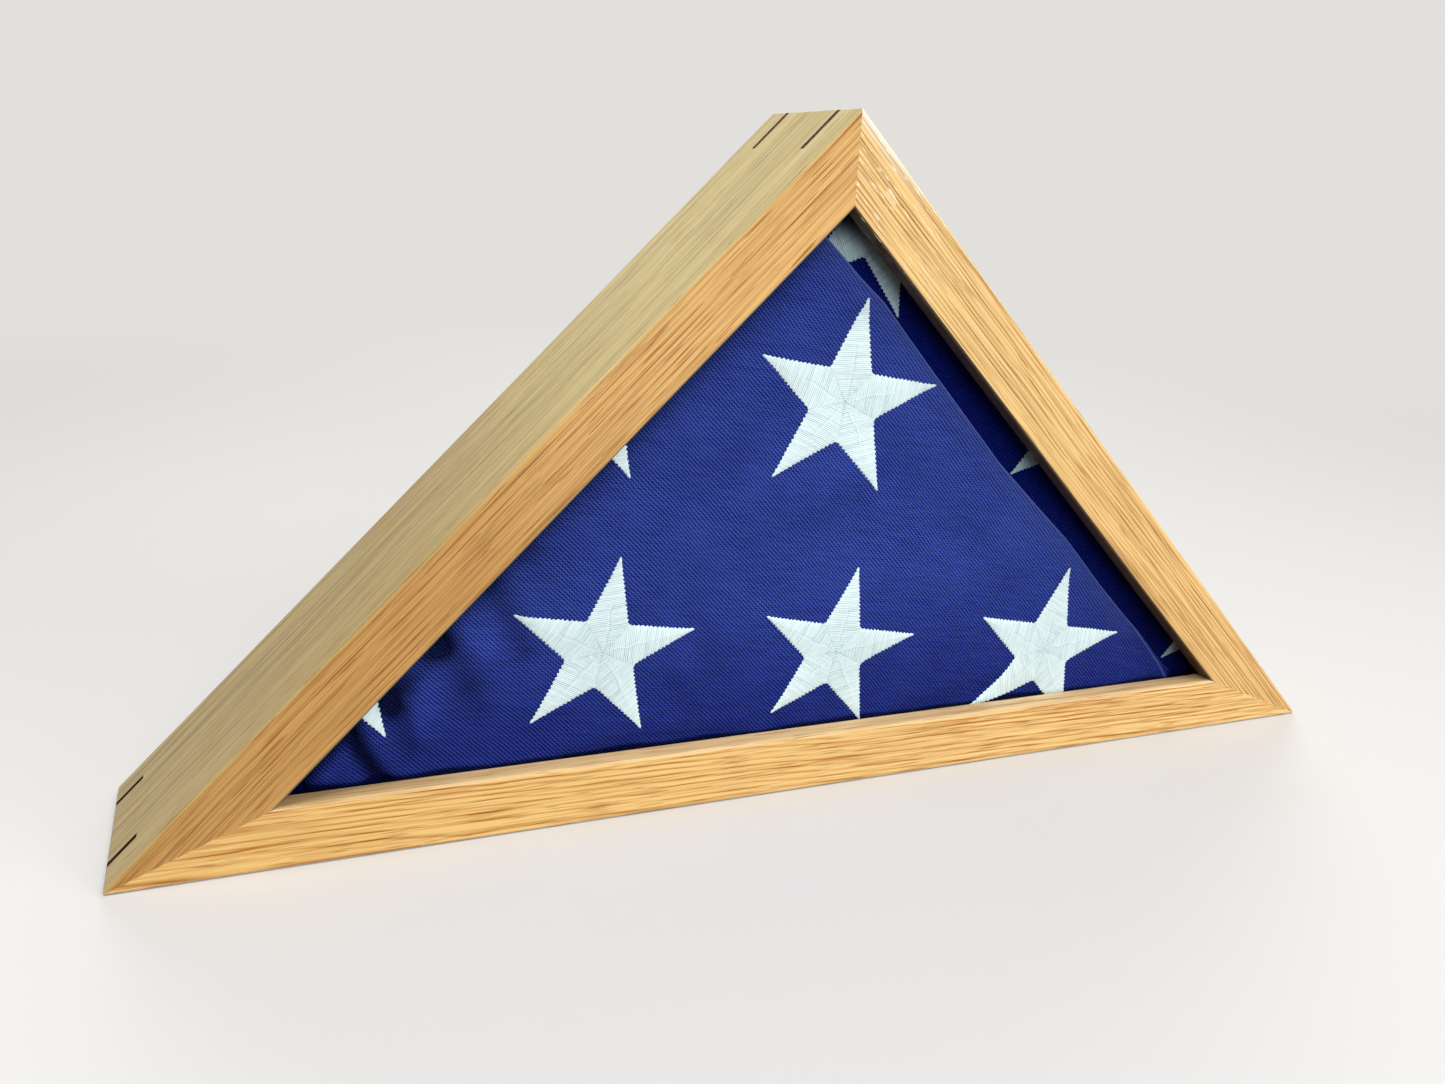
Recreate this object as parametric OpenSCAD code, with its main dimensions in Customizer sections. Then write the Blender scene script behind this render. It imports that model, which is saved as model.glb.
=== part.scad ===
// Triangular display case for a folded flag: a mitred hardwood box with a glazed front and a
// lift-off back panel, holding a flag folded to a triangle.
// The base lies on z = 0, the front looks along -Y, and the origin is midway along the base.

/* [Case] */
// Length of the case along its base
base_w = 648; // [560:1:760]
// Depth of the case from front to back
case_d = 92; // [84:1:140]
// Width of each rail seen from the front
face_w = 29.5; // [25:0.5:36]
// Thickness of each rail behind its front lip
wall_t = 16; // [14:0.5:19]
// Thickness of the front lip
lip_t = 10; // [6:0.5:14]
// Radius of the eased long edges
edge_r = 1.5; // [0.5:0.1:3]
// Radius on the tips of the three corners
tip_r = 1.5; // [0.5:0.1:4]

/* [Corner splines] */
// Thickness of each spline
spline_t = 3.6; // [2:0.1:6]
// Depth from the front face to the middle of the front splines
spline_front = 20.5; // [16:0.5:30]
// Depth from the back face to the middle of the back splines
spline_back = 18; // [14:0.5:30]
// Length of a base corner's spline along each outer face
base_spline_len = 21; // [12:0.5:30]
// Length of the apex splines along each slope
apex_spline_len = 25; // [14:0.5:27]
// Glue line around each spline
glue_gap = 0.05; // [0.02:0.01:0.1]

/* [Glazing] */
// Thickness of the pane
glass_t = 3; // [2:0.5:4]
// Space between the pane's edge and the rails
glass_gap = 1; // [0.5:0.1:2]
// Width of the strips that hold the pane
stop_w = 6; // [4:0.5:8]
// Thickness of the strips that hold the pane
stop_t = 6; // [4:0.5:8]
// Diameter of the pins through the strips
pin_d = 1.2; // [1:0.1:2]
// Length of the pins
pin_len = 14; // [10:0.5:18]
// Diameter of a pin's head
pin_head_d = 2; // [1.5:0.1:3]
// Thickness of a pin's head
pin_head_t = 0.6; // [0.4:0.1:1]
// Distance from a corner to its nearest pin, along the outer face
pin_end = 90; // [70:1:140]
// Room around a pin in its hole
pin_gap = 0.05; // [0.02:0.01:0.1]

/* [Back panel] */
// Thickness of the back panel
panel_t = 6; // [4:0.5:9]
// Width of the rabbet that the panel sits in
rabbet_w = 9; // [8:0.5:11]
// Space between the panel's edge and the rabbet
panel_gap = 0.5; // [0.3:0.1:1.5]
// Space between the panel and the ledge behind it
seat_gap = 0.2; // [0.1:0.05:0.5]
// Diameter of the finger hole
finger_d = 24; // [18:1:34]
// Height of the finger hole's middle above the base
finger_z = 150; // [90:1:180]
// Diameter of the magnets and of the steel discs that they hold
magnet_d = 5; // [4:0.5:5.5]
// Thickness of the magnets
magnet_t = 4; // [2:0.5:6]
// Thickness of the steel discs
disc_t = 1.5; // [1:0.1:2.5]
// Distance from a corner to its nearest magnet, along the outer face
magnet_end = 120; // [80:1:180]
// Room around a magnet or disc in its hole
magnet_gap = 0.05; // [0.02:0.01:0.1]

/* [Folded flag] */
// Thickness of the folded bundle behind the front layer
bundle_t = 53; // [40:1:70]
// Room between the bundle and the rails
bundle_gap = 0.3; // [0.3:0.1:3]
// How far the bundle's base corners stop short of the case's inner corners
bundle_corner = 18; // [6:1:40]
// Thickness of the front layer
fold_t = 9; // [5:0.5:14]
// Distance from the window's right edge to the front layer's folded edge
fold_setback = 11.5; // [6:0.5:20]
// Room between the front layer and the strips around the pane
fold_gap = 0.6; // [0.3:0.1:2]
// Room between the stars and the pane
glass_room = 0.6; // [0.3:0.1:2]
// How far the front layer's lower left corner stops short of the case's inner corner
fold_corner = 34; // [10:1:60]
// Diameter of the circle through a star's five points
star_d = 94; // [80:1:100]
// Thickness of the stitching of a star
star_t = 0.8; // [0.5:0.1:1.5]
// Turn of the front layer's stars, anticlockwise
star_turn = -10; // [-35:1:35]
// Turn of the two covered stars beside the right rail, anticlockwise
side_star_turn = -20; // [-35:1:35]
// Turn of the covered star below the apex, anticlockwise
apex_star_turn = -6; // [-35:1:35]

/* [Hidden] */
$fn = 48;
over = 1;
case_h = base_w / 2;
slope_len = base_w / sqrt(2);
base_half_angle = 22.5;
apex_half_angle = 45;
front_y = -case_d / 2;
back_y = case_d / 2;
glass_y = front_y + lip_t;
stop_y = glass_y + glass_t;
fold_y = stop_y + glass_room + star_t;
bundle_y = fold_y + fold_t;
panel_y = back_y - panel_t;
ledge_y = panel_y - seat_gap;
pin_y = stop_y + stop_t / 2;
front_spline_y = front_y + spline_front;
back_spline_y = back_y - spline_back;
magnet_z = wall_t - rabbet_w / 2;
star_inner = 0.382;
// Sum of x and z along the front layer's folded edge, which runs parallel to the right rail
fold_sum = case_h - (face_w + fold_setback) * sqrt(2);
fold_room = wall_t + stop_w + fold_gap;
fold_r = 0.45 * fold_t;
fold_left = -base_w / 2 + fold_room * (1 + sqrt(2)) + fold_corner;

// Middles of the stars on the front layer, across and up from the origin
front_stars = [[10.8, 194.9], [-106.4, 79.3], [16.6, 66.7], [145.7, 53.8], [-114.5, 205.5], [-226, 92.4]];
// Middles of the stars on the layer below, beside the right rail and below the apex
side_stars = [[154, 179.4], [274.6, 63.3]];
apex_stars = [[19.5, 276]];

// Corners of the case's outline moved inwards by d: left, right, apex
function inset_triangle(d) = [
    [-base_w / 2 + d * (1 + sqrt(2)), d],
    [base_w / 2 - d * (1 + sqrt(2)), d],
    [0, case_h - d * sqrt(2)]
];

// Points of a five-pointed star of outer radius r
function star_points(r) = [
    for (i = [0 : 9])
        (i % 2 == 0 ? r : r * star_inner) * [cos(90 + 36 * i), sin(90 + 36 * i)]
];

// A flat outline in X and Z, thickened from y to y + t
module slab(y, t) {
    translate([0, y + t, 0])
        rotate([90, 0, 0])
            linear_extrude(t)
                children();
}

// Frames of the three rails: X along the outer face, Z inwards
module on_bottom() {
    translate([-base_w / 2, 0, 0])
        children();
}

module on_right() {
    translate([base_w / 2, 0, 0])
        rotate([0, -135, 0])
            children();
}

module on_left() {
    translate([0, 0, case_h])
        rotate([0, 135, 0])
            children();
}

// Frames of the three corners: X along the corner's bisector, inwards
module at_left_corner() {
    translate([-base_w / 2, 0, 0])
        rotate([0, -base_half_angle, 0])
            children();
}

module at_right_corner() {
    translate([base_w / 2, 0, 0])
        rotate([0, base_half_angle - 180, 0])
            children();
}

module at_apex() {
    translate([0, 0, case_h])
        rotate([0, 90, 0])
            children();
}

// Wedge between the two mitre planes of a rail of length len
module mitre_wedge(len, start_angle, end_angle, h) {
    slab(front_y - over, case_d + 2 * over)
        polygon([
            [0, 0],
            [len, 0],
            [len - h / tan(end_angle), h],
            [h / tan(start_angle), h]
        ]);
}

// What rounds a long edge at (y, z) to radius r: sy and sz point away from the stock
module edge_cut(len, y, z, sy, sz, r) {
    difference() {
        translate([-over, sy > 0 ? y - r : y - over, sz > 0 ? z - r : z - over])
            cube([len + 2 * over, r + over, r + over]);
        translate([-2 * over, y - sy * r, z - sz * r])
            rotate([0, 90, 0])
                cylinder(r = r, h = len + 4 * over);
    }
}

// What rounds the tip of a corner with this half angle
module tip_cut(half_angle) {
    reach = tip_r / tan(half_angle) * cos(half_angle);
    difference() {
        translate([-over, front_y - over, -tip_r - over])
            cube([reach + over, case_d + 2 * over, 2 * (tip_r + over)]);
        translate([tip_r / sin(half_angle), back_y + 2 * over, 0])
            rotate([90, 0, 0])
                cylinder(r = tip_r, h = case_d + 4 * over);
    }
}

module tip_cuts() {
    at_left_corner()
        tip_cut(base_half_angle);
    at_right_corner()
        tip_cut(base_half_angle);
    at_apex()
        tip_cut(apex_half_angle);
}

// Space of one spline, y to its middle, with the room gap on every buried side
module spline_space(y, len, half_angle, gap) {
    reach = len * cos(half_angle) + gap;
    width = len * sin(half_angle) + over;
    translate([-over, y - spline_t / 2 - gap, -width])
        cube([reach + over, spline_t + 2 * gap, 2 * width]);
}

module spline_slots() {
    for (y = [front_spline_y, back_spline_y]) {
        at_left_corner()
            spline_space(y, base_spline_len, base_half_angle, glue_gap);
        at_right_corner()
            spline_space(y, base_spline_len, base_half_angle, glue_gap);
        at_apex()
            spline_space(y, apex_spline_len, apex_half_angle, glue_gap);
    }
}

// The whole outline of the case as one block, tips rounded
module case_block() {
    difference() {
        slab(front_y, case_d)
            polygon(inset_triangle(0));
        tip_cuts();
    }
}

// L-shaped stock of a rail: front lip, wall and the rabbet for the back panel
module rail_stock(len) {
    difference() {
        translate([0, front_y, 0])
            cube([len, case_d, face_w]);
        translate([-over, glass_y, wall_t])
            cube([len + 2 * over, case_d - lip_t + over, face_w - wall_t + over]);
        translate([-over, ledge_y, wall_t - rabbet_w])
            cube([len + 2 * over, panel_t + seat_gap + over, rabbet_w + over]);
        edge_cut(len, front_y, 0, -1, -1, edge_r);
        edge_cut(len, back_y, 0, 1, -1, edge_r);
        edge_cut(len, front_y, face_w, -1, 1, edge_r);
    }
}

// Places along a rail for the pins and for the magnets
function pin_places(len) = [pin_end, len / 2, len - pin_end];
function magnet_places(len) = [magnet_end, len - magnet_end];

module pin_holes(len) {
    for (x = pin_places(len)) {
        translate([x, pin_y, wall_t + stop_w - pin_len - pin_gap])
            cylinder(d = pin_d + 2 * pin_gap, h = pin_len + over);
        translate([x, pin_y, wall_t + stop_w - pin_head_t])
            cylinder(d = pin_head_d + 2 * pin_gap, h = pin_head_t + over);
    }
}

module pins(len) {
    for (x = pin_places(len)) {
        translate([x, pin_y, wall_t + stop_w - pin_len])
            cylinder(d = pin_d, h = pin_len);
        translate([x, pin_y, wall_t + stop_w - pin_head_t])
            cylinder(d = pin_head_d, h = pin_head_t);
    }
}

// Round blind hole or plug of depth t, open at y and running forwards for a magnet
module magnet_plug(len, y, t, gap) {
    for (x = magnet_places(len))
        translate([x, y, magnet_z])
            rotate([90, 0, 0])
                cylinder(d = magnet_d + 2 * gap, h = t);
}

module rail(len, start_angle, end_angle) {
    difference() {
        intersection() {
            rail_stock(len);
            mitre_wedge(len, start_angle, end_angle, face_w + over);
        }
        pin_holes(len);
        translate([0, over, 0])
            magnet_plug(len, ledge_y, magnet_t + over + magnet_gap, magnet_gap);
    }
}

module cut_corners() {
    difference() {
        children();
        spline_slots();
        tip_cuts();
    }
}

module bottom_rail() {
    color([0.82, 0.62, 0.36])
        cut_corners()
            on_bottom()
                rail(base_w, base_half_angle, base_half_angle);
}

module left_rail() {
    color([0.80, 0.61, 0.36])
        cut_corners()
            on_left()
                rail(slope_len, apex_half_angle, base_half_angle);
}

module right_rail() {
    color([0.84, 0.65, 0.40])
        cut_corners()
            on_right()
                rail(slope_len, base_half_angle, apex_half_angle);
}

// A spline is what its space holds of the case's block, so its ends lie flush with the rails
module spline_wood() {
    color([0.16, 0.10, 0.07])
        intersection() {
            case_block();
            children();
        }
}

module apex_spline(y) {
    spline_wood()
        at_apex()
            spline_space(y, apex_spline_len, apex_half_angle, 0);
}

module left_spline(y) {
    spline_wood()
        at_left_corner()
            spline_space(y, base_spline_len, base_half_angle, 0);
}

module right_spline(y) {
    spline_wood()
        at_right_corner()
            spline_space(y, base_spline_len, base_half_angle, 0);
}

module glass_pane() {
    color([0.85, 0.92, 0.95, 0.3])
        slab(glass_y, glass_t)
            polygon(inset_triangle(wall_t + glass_gap));
}

module glass_stop(len, start_angle, end_angle) {
    color([0.78, 0.58, 0.34])
        difference() {
            intersection() {
                translate([0, stop_y, wall_t])
                    cube([len, stop_t, stop_w]);
                mitre_wedge(len, start_angle, end_angle, wall_t + stop_w + over);
            }
            pin_holes(len);
        }
}

module bottom_glass_stop() {
    on_bottom()
        glass_stop(base_w, base_half_angle, base_half_angle);
}

module left_glass_stop() {
    on_left()
        glass_stop(slope_len, apex_half_angle, base_half_angle);
}

module right_glass_stop() {
    on_right()
        glass_stop(slope_len, base_half_angle, apex_half_angle);
}

module glass_stop_pins() {
    color([0.72, 0.62, 0.38]) {
        on_bottom()
            pins(base_w);
        on_left()
            pins(slope_len);
        on_right()
            pins(slope_len);
    }
}

module back_panel() {
    color([0.80, 0.66, 0.46])
        difference() {
            slab(panel_y, panel_t)
                polygon(inset_triangle(wall_t - rabbet_w + panel_gap));
            translate([0, back_y + over, finger_z])
                rotate([90, 0, 0])
                    cylinder(d = finger_d, h = panel_t + 2 * over);
            disc_places(disc_t + magnet_gap, magnet_gap, over);
        }
}

// Discs of thickness t let into the panel's front face, or their holes running out by extra
module disc_places(t, gap, extra) {
    on_bottom()
        magnet_plug(base_w, panel_y + t, t + extra, gap);
    on_left()
        magnet_plug(slope_len, panel_y + t, t + extra, gap);
    on_right()
        magnet_plug(slope_len, panel_y + t, t + extra, gap);
}

module case_magnets() {
    color([0.72, 0.73, 0.75]) {
        on_bottom()
            magnet_plug(base_w, ledge_y, magnet_t, 0);
        on_left()
            magnet_plug(slope_len, ledge_y, magnet_t, 0);
        on_right()
            magnet_plug(slope_len, ledge_y, magnet_t, 0);
    }
}

module panel_discs() {
    color([0.66, 0.67, 0.69])
        disc_places(disc_t, 0, 0);
}

// The many layers of the folded flag that fill the case, base corners cut off square
module flag_bundle() {
    room = wall_t + bundle_gap;
    reach = base_w / 2 - room * (1 + sqrt(2)) - bundle_corner;
    color([0.07, 0.07, 0.24])
        intersection() {
            slab(bundle_y, bundle_t)
                polygon(inset_triangle(room));
            translate([-reach, bundle_y, 0])
                cube([2 * reach, bundle_t, case_h]);
        }
}

// Outline of the front layer as far as its folded edge, pulled in by margin there
module fold_outline(margin) {
    edge = fold_sum - margin * sqrt(2);
    line = case_h - fold_room * sqrt(2);
    polygon([
        [fold_left, fold_room],
        [edge - fold_room, fold_room],
        [(edge - line) / 2, (edge + line) / 2],
        [fold_left, line + fold_left]
    ]);
}

// Flat stock with one long edge rounded over on both sides, laid along the folded edge
module fold_stock() {
    translate([0, 0, fold_sum])
        rotate([0, 45, 0])
            translate([-slope_len, 0, 0])
                difference() {
                    translate([0, fold_y, -base_w])
                        cube([2 * slope_len, fold_t, base_w]);
                    edge_cut(2 * slope_len, fold_y, 0, -1, 1, fold_r);
                    edge_cut(2 * slope_len, fold_y + fold_t, 0, 1, 1, fold_r);
                }
}

module flag_front_layer() {
    color([0.13, 0.13, 0.45])
        intersection() {
            fold_stock();
            slab(fold_y - over, fold_t + 2 * over)
                fold_outline(-over);
        }
}

module stars(places, turn) {
    for (place = places)
        translate(place)
            rotate(turn)
                polygon(star_points(star_d / 2));
}

module flag_front_stars() {
    color([0.93, 0.96, 0.97])
        slab(fold_y - star_t, star_t)
            intersection() {
                fold_outline(fold_r);
                stars(front_stars, star_turn);
            }
}

// Stars on the layer below, where the front layer leaves them in view
module flag_covered_stars() {
    clear = fold_gap * sqrt(2);
    line = case_h - fold_room * sqrt(2);
    color([0.70, 0.75, 0.80])
        slab(bundle_y - star_t, star_t)
            intersection() {
                polygon([
                    [fold_sum + clear - fold_room, fold_room],
                    [line - fold_room, fold_room],
                    [0, line],
                    [(fold_sum + clear - line) / 2, (fold_sum + clear + line) / 2]
                ]);
                union() {
                    stars(side_stars, side_star_turn);
                    stars(apex_stars, apex_star_turn);
                }
            }
}

bottom_rail();
left_rail();
right_rail();
apex_spline(front_spline_y);  // apex_spline_front
apex_spline(back_spline_y);  // apex_spline_back
left_spline(front_spline_y);  // left_spline_front
left_spline(back_spline_y);  // left_spline_back
right_spline(front_spline_y);  // right_spline_front
right_spline(back_spline_y);  // right_spline_back
glass_pane();
bottom_glass_stop();
left_glass_stop();
right_glass_stop();
glass_stop_pins();
back_panel();
case_magnets();
panel_discs();
flag_bundle();
flag_front_layer();
flag_front_stars();
flag_covered_stars();
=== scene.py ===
# Folded flag display case: oak, walnut, glass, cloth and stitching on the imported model,
# with the camera and a plain pale studio. Lengths are in metres unless a name says mm.
import math

import bpy
import numpy as np
from mathutils import Matrix, Vector


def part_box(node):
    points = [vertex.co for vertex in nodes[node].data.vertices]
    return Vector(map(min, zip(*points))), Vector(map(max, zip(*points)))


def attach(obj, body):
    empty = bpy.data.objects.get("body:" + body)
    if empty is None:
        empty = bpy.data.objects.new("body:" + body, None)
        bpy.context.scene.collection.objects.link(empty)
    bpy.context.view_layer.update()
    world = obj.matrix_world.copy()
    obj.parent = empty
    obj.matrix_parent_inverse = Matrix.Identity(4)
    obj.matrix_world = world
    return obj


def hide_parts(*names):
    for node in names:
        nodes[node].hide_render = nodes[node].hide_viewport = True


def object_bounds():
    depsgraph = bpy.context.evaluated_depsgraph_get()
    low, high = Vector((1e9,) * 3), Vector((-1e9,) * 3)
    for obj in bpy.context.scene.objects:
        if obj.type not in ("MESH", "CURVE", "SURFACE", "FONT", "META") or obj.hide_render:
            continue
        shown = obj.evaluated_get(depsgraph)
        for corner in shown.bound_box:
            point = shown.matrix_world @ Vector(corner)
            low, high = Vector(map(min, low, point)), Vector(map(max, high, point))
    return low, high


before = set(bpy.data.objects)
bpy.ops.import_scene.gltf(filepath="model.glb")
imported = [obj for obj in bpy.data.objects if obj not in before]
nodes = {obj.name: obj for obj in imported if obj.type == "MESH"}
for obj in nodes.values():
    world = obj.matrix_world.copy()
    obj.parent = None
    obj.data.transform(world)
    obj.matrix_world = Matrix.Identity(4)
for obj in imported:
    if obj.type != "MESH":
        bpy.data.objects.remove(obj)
caseLow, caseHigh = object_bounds()
print("frame loaded,", len(nodes), "nodes")

mm = 0.001
diagonal = math.sqrt(0.5)


# Meshes from numpy grids
def triangleVolume(points, triangles):
    a, b, c = (points[triangles[:, k]] for k in range(3))
    return np.einsum("ij,ij->i", a, np.cross(b, c)).sum() / 6


# Faces of a loft: each row of grid (rows, columns, 3) is a closed loop, and the first and last
# loops are filled. Faces are wound so that the enclosed volume comes out positive. Returns every
# face's corners in turn, and where each face starts among them.
def loftFaces(grid):
    rows, columns = grid.shape[:2]
    points = grid.reshape(-1, 3)
    i, j = np.meshgrid(np.arange(rows - 1), np.arange(columns), indexing="ij")
    k = (j + 1) % columns
    quads = np.stack([i * columns + j, i * columns + k, (i + 1) * columns + k, (i + 1) * columns + j], -1)
    quads = quads.reshape(-1, 4)
    first = np.arange(columns)[::-1]
    last = (rows - 1) * columns + np.arange(columns)
    sides = np.concatenate([quads[:, [0, 1, 2]], quads[:, [0, 2, 3]]])
    if triangleVolume(points - points.mean(0), sides) < 0:
        quads, first, last = quads[:, ::-1], first[::-1], last[::-1]
    corners = np.concatenate([quads.ravel(), first, last]).astype(np.int32)
    starts = np.concatenate([np.arange(len(quads)) * 4, [len(quads) * 4, len(quads) * 4 + columns]])
    return corners, starts.astype(np.int32)


def loftMesh(name, grid, material, uv=None, values=None):
    corners, starts = loftFaces(grid)
    return meshFrom(name, grid.reshape(-1, 3), corners, starts, material, uv, values)


def meshFrom(name, points, corners, starts, material, uv=None, values=None):
    mesh = bpy.data.meshes.new(name)
    mesh.vertices.add(len(points))
    mesh.vertices.foreach_set("co", points.astype(np.float32).ravel())
    mesh.loops.add(len(corners))
    mesh.loops.foreach_set("vertex_index", corners)
    mesh.polygons.add(len(starts))
    mesh.polygons.foreach_set("loop_start", starts)
    mesh.update(calc_edges=True)
    mesh.polygons.foreach_set("use_smooth", np.ones(len(starts), bool))
    if uv is not None:
        layer = mesh.uv_layers.new(name="stitchMap")
        layer.data.foreach_set("uv", uv.reshape(-1, 2)[corners].astype(np.float32).ravel())
    for key, value in (values or {}).items():
        mesh.attributes.new(key, "FLOAT", "POINT").data.foreach_set("value", value.astype(np.float32).ravel())
    mesh.validate()
    mesh.materials.append(material)
    piece = bpy.data.objects.new(name, mesh)
    bpy.context.scene.collection.objects.link(piece)
    return piece


# Material helpers
def newMaterial(name):
    material = bpy.data.materials.new(name)
    material.use_nodes = True
    tree = material.node_tree
    return material, tree, tree.nodes["Principled BSDF"]


# Adds a shader node; inputs are numbers, colours or sockets by name or place
def addNode(tree, kind, inputs=None, **settings):
    node = tree.nodes.new("ShaderNode" + kind)
    for key, value in settings.items():
        setattr(node, key, value)
    for key, value in (inputs or {}).items():
        if isinstance(value, bpy.types.NodeSocket):
            tree.links.new(value, node.inputs[key])
        else:
            node.inputs[key].default_value = value
    return node


def calc(tree, operation, *values):
    return addNode(tree, "Math", dict(enumerate(values)), operation=operation).outputs[0]


def blendColours(tree, share, first, second, kind="MIX"):
    node = addNode(tree, "Mix", {0: share, 6: first, 7: second}, data_type="RGBA", blend_type=kind)
    return node.outputs[2]


def noise(tree, vector, scale, detail=2.0, roughness=0.5, distortion=0.0):
    inputs = {"Vector": vector, "Scale": scale, "Detail": detail}
    inputs.update({"Roughness": roughness, "Distortion": distortion})
    return addNode(tree, "TexNoise", inputs).outputs["Fac"]


# 0 below low, 1 above high and a smooth step between
def smoothStep(tree, value, low, high):
    node = addNode(tree, "MapRange", {0: value, 1: low, 2: high}, interpolation_type="SMOOTHSTEP")
    return node.outputs[0]


# Grey levels at places from 0 to 1, joined by straight slopes
def greyRamp(tree, value, stops):
    node = addNode(tree, "ValToRGB", {0: value})
    elements = node.color_ramp.elements
    while len(elements) < len(stops):
        elements.new(0.5)
    for element, (place, level) in zip(elements, stops):
        element.position = place
        element.color = (level, level, level, 1)
    return node.outputs[0]


# Object coordinates turned about Y, so that X runs along a rail, and then scaled
def railSpace(tree, turn, scale, shift=(0, 0, 0)):
    point = addNode(tree, "TexCoord").outputs["Object"]
    turned = addNode(tree, "Mapping", {"Vector": point, "Rotation": (0, turn, 0)}).outputs[0]
    return addNode(tree, "Mapping", {"Vector": turned, "Scale": scale, "Location": shift}).outputs[0]


# sRGB 0-255 to a linear colour
def paint(red, green, blue):
    parts = [c / 255 for c in (red, green, blue)]
    return tuple(c / 12.92 if c <= 0.04045 else ((c + 0.055) / 1.055) ** 2.4 for c in parts) + (1.0,)


# Oak
oakLook = {
    "fleckColour": paint(255, 246, 220),
    "poreColour": paint(150, 98, 44),
    # the colour of the painted sheen, a painted highlight by the apex
    "paintedSheenColour": paint(255, 246, 226),
    "roughness": 0.40,
    "coat": 0.07,
    "specular": 0.28,
    "faceWidth": 29.5,  # mm
    "poreDepth": 0.00012,
}
# turn brings X along the rail, and ends are the rail's two ends there, in mm. ringAt is the growth
# rings' middle in depth and outward height, in mm; lean tilts the rings along the rail, and wander
# and waves bend them slowly and quickly, in ring pitches. Each rail has a front and a side cut: the
# light and dark wood, how much the ring lines, streaks, fine fibres, broad clouds and veins darken
# it, and the streaks' and veins' number per metre along and across. The wood is washed by two tints
# between the places in wash. outer is the outer face's height in mm, innerShadeTint darkens the
# window's inner side with painted shade, strongest on the right rail, band and paleZone shade the
# side's front, pores is the pores' strength, and flecksAndSheen the strength of the ray flecks and of
# the painted sheen, a painted highlight by the apex.
railLooks = {
    "left_rail": {
        "turn": math.radians(45), "ends": (-230, 230), "shift": (0.31, 0.0, 0.07),
        "ringAt": (58, 275), "ringPitch": 1.7, "lean": 0.010, "wander": 1.8,
        "front": {"light": paint(235, 188, 122), "dark": paint(138, 83, 32), "rings": 0.24, "streaks": 0.13,
                  "fine": 0.75, "broad": 0.2, "perMetre": (12, 700),
                  "veins": 0.24, "veinsPerMetre": (12, 520)},
        # the side's colour, greener and greyer than the front's, is partly the wood's own and partly painted
        # light
        "side": {"light": paint(210, 189, 132), "dark": paint(104, 86, 42), "rings": 0.26, "streaks": 0.20,
                 "fine": 0.85, "broad": 0.2, "perMetre": (5, 560), "veins": 0.30, "veinsPerMetre": (6, 520)},
        "wash": (-60, 110), "firstTint": paint(216, 207, 190), "lastTint": paint(244, 244, 240),
        "outer": 229.1, "innerShadeTint": (0.6, 0.55, 0.5, 1), "band": 0.16, "paleZone": 0.42,
        "flecksAndSheen": 0.0, "waves": 1.0, "pores": 0.75,
    },
    "bottom_rail": {
        "turn": 0.0, "ends": (-324, 324), "shift": (0.02, 0.3, 0.0),
        "ringAt": (-86, -18), "ringPitch": 1.9, "lean": 0.030, "wander": 2.0,
        "front": {"light": paint(252, 213, 140), "dark": paint(175, 98, 30), "rings": 0.55, "streaks": 0.18,
                  "fine": 0.55, "broad": 0.15, "perMetre": (16, 620),
                  "veins": 0.30, "veinsPerMetre": (14, 430)},
        "side": {"light": paint(250, 228, 190), "dark": paint(190, 148, 98), "rings": 0.1, "streaks": 0.3,
                 "fine": 0.4, "broad": 0.3, "perMetre": (12, 700), "veins": 0.3, "veinsPerMetre": (10, 260)},
        "wash": (-324, 324), "firstTint": paint(244, 238, 226), "lastTint": paint(255, 255, 255),
        "outer": 0.0, "innerShadeTint": (0.72, 0.64, 0.50, 1), "band": 0.0, "paleZone": 0.0,
        "flecksAndSheen": 0.0, "waves": 1.3, "pores": 0.55,
    },
    "right_rail": {
        "turn": math.radians(-45), "ends": (-230, 230), "shift": (0.0, 0.11, 0.23),
        "ringAt": (-20, 300), "ringPitch": 1.8, "lean": -0.012, "wander": 1.4,
        "front": {"light": paint(242, 205, 140), "dark": paint(142, 86, 30), "rings": 0.45, "streaks": 0.26,
                  "fine": 0.6, "broad": 0.15, "perMetre": (9, 700), "veins": 0.28, "veinsPerMetre": (8, 520)},
        "side": {"light": paint(226, 200, 148), "dark": paint(164, 132, 82), "rings": 0.1, "streaks": 0.4,
                 "fine": 0.5, "broad": 0.3, "perMetre": (9, 700), "veins": 0.25, "veinsPerMetre": (5, 280)},
        "wash": (-230, 230), "firstTint": paint(255, 255, 255), "lastTint": paint(255, 246, 232),
        "outer": 229.1, "innerShadeTint": (0.16, 0.14, 0.12, 1), "band": 0.0, "paleZone": 0.0,
        "flecksAndSheen": 0.9, "waves": 1.5, "pores": 0.5,
    },
}


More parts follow.
